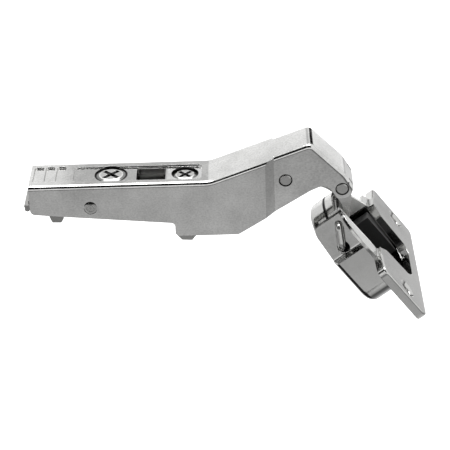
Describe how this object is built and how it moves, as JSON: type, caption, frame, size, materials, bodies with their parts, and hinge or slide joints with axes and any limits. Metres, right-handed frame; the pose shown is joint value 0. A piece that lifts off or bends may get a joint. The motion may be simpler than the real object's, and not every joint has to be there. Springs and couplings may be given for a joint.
{
  "type": "concealed cup hinge",
  "caption": "Clip-on concealed cabinet hinge for an angled door: folded arm with adjusting screws, two links and a sunk cup with a screw flange, shown open.",
  "frame": {"origin": "middle of the clip carrier's underside, where the mounting plate sits", "axes": "+X along the arm towards the cup, +Y across the hinge away from the pictured side, +Z out of the arm's roof"},
  "size_m": [0.1191, 0.051, 0.0542],
  "materials": {
    "satin_nickel": "satin nickel plate",
    "inner_steel": "plain zinc plate",
    "bright_nickel": "bright nickel plate",
    "pin_steel": "drawn steel",
    "spring_steel": "oiled spring wire",
    "screw_nickel": "bright nickel plate",
    "insert_plastic": "matt black"
  },
  "bodies": {
    "carrier": {"clip_carrier": "inner_steel", "lever_pin": "pin_steel", "lever_spring": "spring_steel"},
    "slider": {"arm_pin": "pin_steel"},
    "arm": {"hinge_arm": "satin_nickel", "rear_link_pin": "pin_steel", "front_link_pin": "pin_steel", "closing_spring": "spring_steel"},
    "depth": {"depth_screw": "screw_nickel", "depth_washer": "inner_steel"},
    "side": {"side_screw": "screw_nickel"},
    "lever": {"release_lever": "inner_steel"},
    "outer": {"outer_link": "satin_nickel"},
    "pot": {"cup": "bright_nickel", "cup_axle": "pin_steel", "cup_insert": "insert_plastic"},
    "inner": {"inner_link": "inner_steel"}
  },
  "joints": [
    {"name": "depth_slide", "type": "slide", "parent": "carrier", "child": "slider", "axis": [1, 0, 0], "range_m": [0, 0.0025]},
    {"name": "side_tilt", "type": "hinge", "parent": "slider", "child": "arm", "pos_m": [-0.0112, 0, -0.0024], "axis": [0, -1, 0], "range_deg": [-1.2, 1.2]},
    {"name": "depth_turn", "type": "hinge", "parent": "arm", "child": "depth", "pos_m": [-0.005, 0, 0.0012], "axis": [0, 0, 1], "range_deg": [-90, 0]},
    {"name": "side_turn", "type": "hinge", "parent": "arm", "child": "side", "pos_m": [0.0172, 0, 0.0012], "axis": [0, 0, 1], "range_deg": [-360, 360]},
    {"name": "release", "type": "hinge", "parent": "carrier", "child": "lever", "pos_m": [-0.0175, 0, -0.0026], "axis": [0, -1, 0], "range_deg": [0, 9], "stiffness_Nm_per_rad": 0.08, "springref_deg": -11.46},
    {"name": "link_swing", "type": "hinge", "parent": "arm", "child": "outer", "pos_m": [0.064, 0, 0.0012], "axis": [0, -1, 0], "range_deg": [-23, 0]},
    {"name": "cup_swing", "type": "hinge", "parent": "outer", "child": "pot", "pos_m": [0.06356, 0, -0.01616], "axis": [0, -1, 0], "range_deg": [0, 118]},
    {"name": "inner_swing", "type": "hinge", "parent": "pot", "child": "inner", "pos_m": [0.06274, 0, -0.00976], "axis": [0, -1, 0], "range_deg": [-135, 0]}
  ],
  "couplings": [
    {"joint": "depth_turn", "follows": "depth_slide", "rad_per_m": -628.32},
    {"joint": "side_turn", "follows": "side_tilt", "ratio": 300},
    {"joint": "link_swing", "follows": "cup_swing", "ratio": -0.19492},
    {"joint": "inner_swing", "follows": "cup_swing", "ratio": -1.1441}
  ]
}
